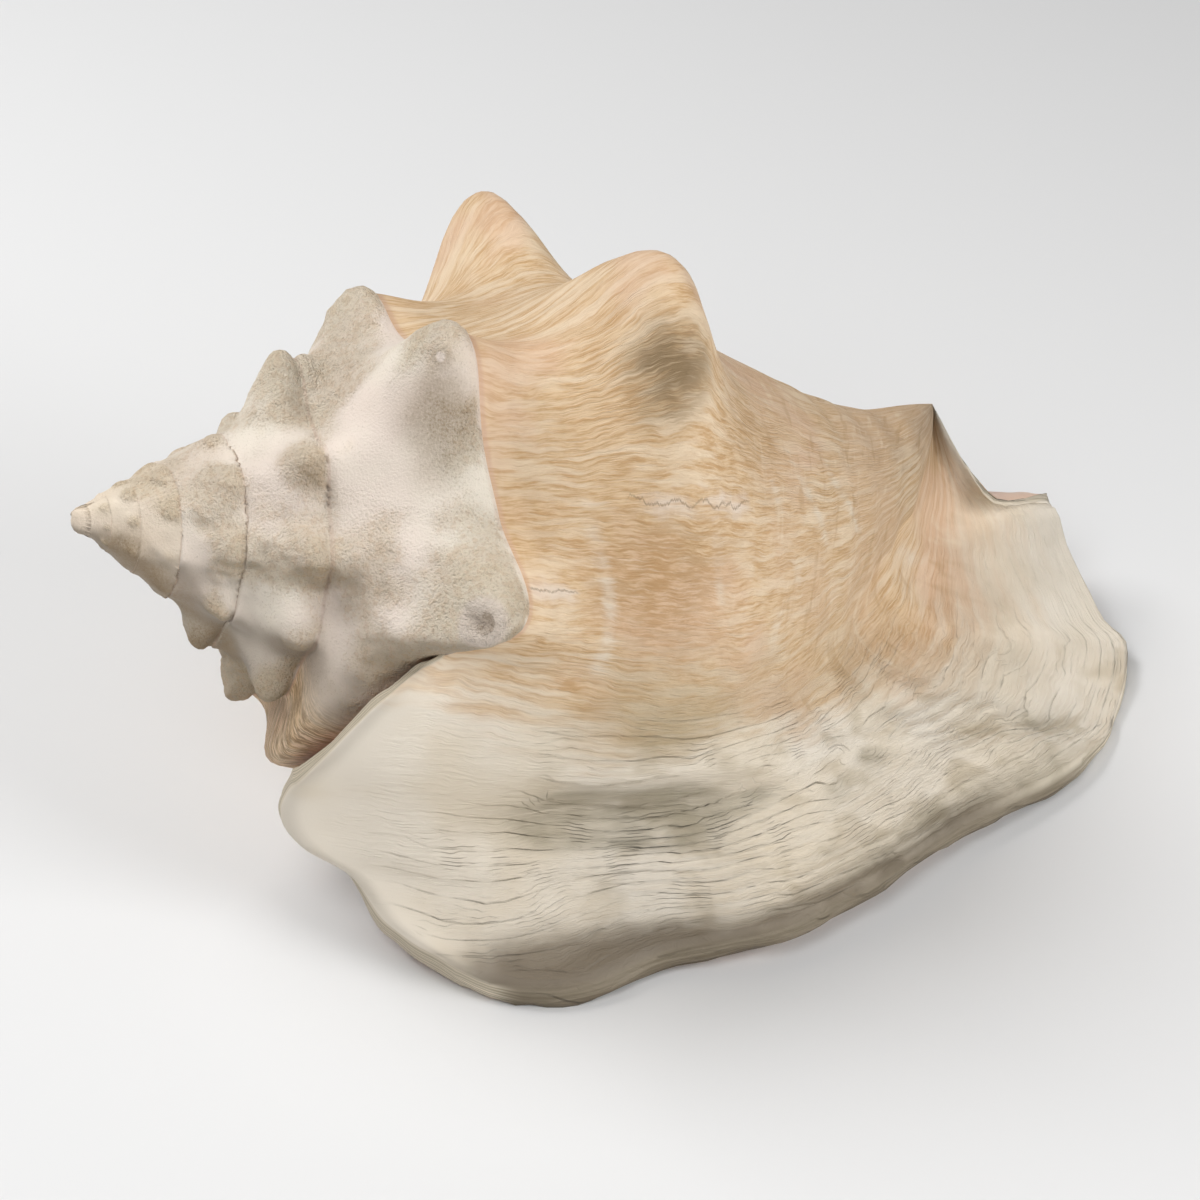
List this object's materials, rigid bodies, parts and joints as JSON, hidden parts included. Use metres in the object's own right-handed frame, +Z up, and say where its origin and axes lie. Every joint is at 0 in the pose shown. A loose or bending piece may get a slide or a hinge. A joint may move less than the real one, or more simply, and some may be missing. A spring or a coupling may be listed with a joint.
{
  "type": "queen conch shell",
  "caption": "Large spiral sea snail shell with a knobbed conical spire, a tapering canal and a broad flared lip around a long narrow opening.",
  "frame": {"origin": "centre of the footprint, on the surface that the shell rests on", "axes": "+X from the spire towards the canal, -Y towards the flared lip's edge, +Z up from the resting surface"},
  "size_m": [0.2392, 0.1554, 0.133],
  "materials": {
    "shell": "worn, chalky shell: tan and cream outside, pale lip, glossier pink inside the opening"
  },
  "bodies": {
    "root": {"shell": "shell"}
  },
  "joints": []
}
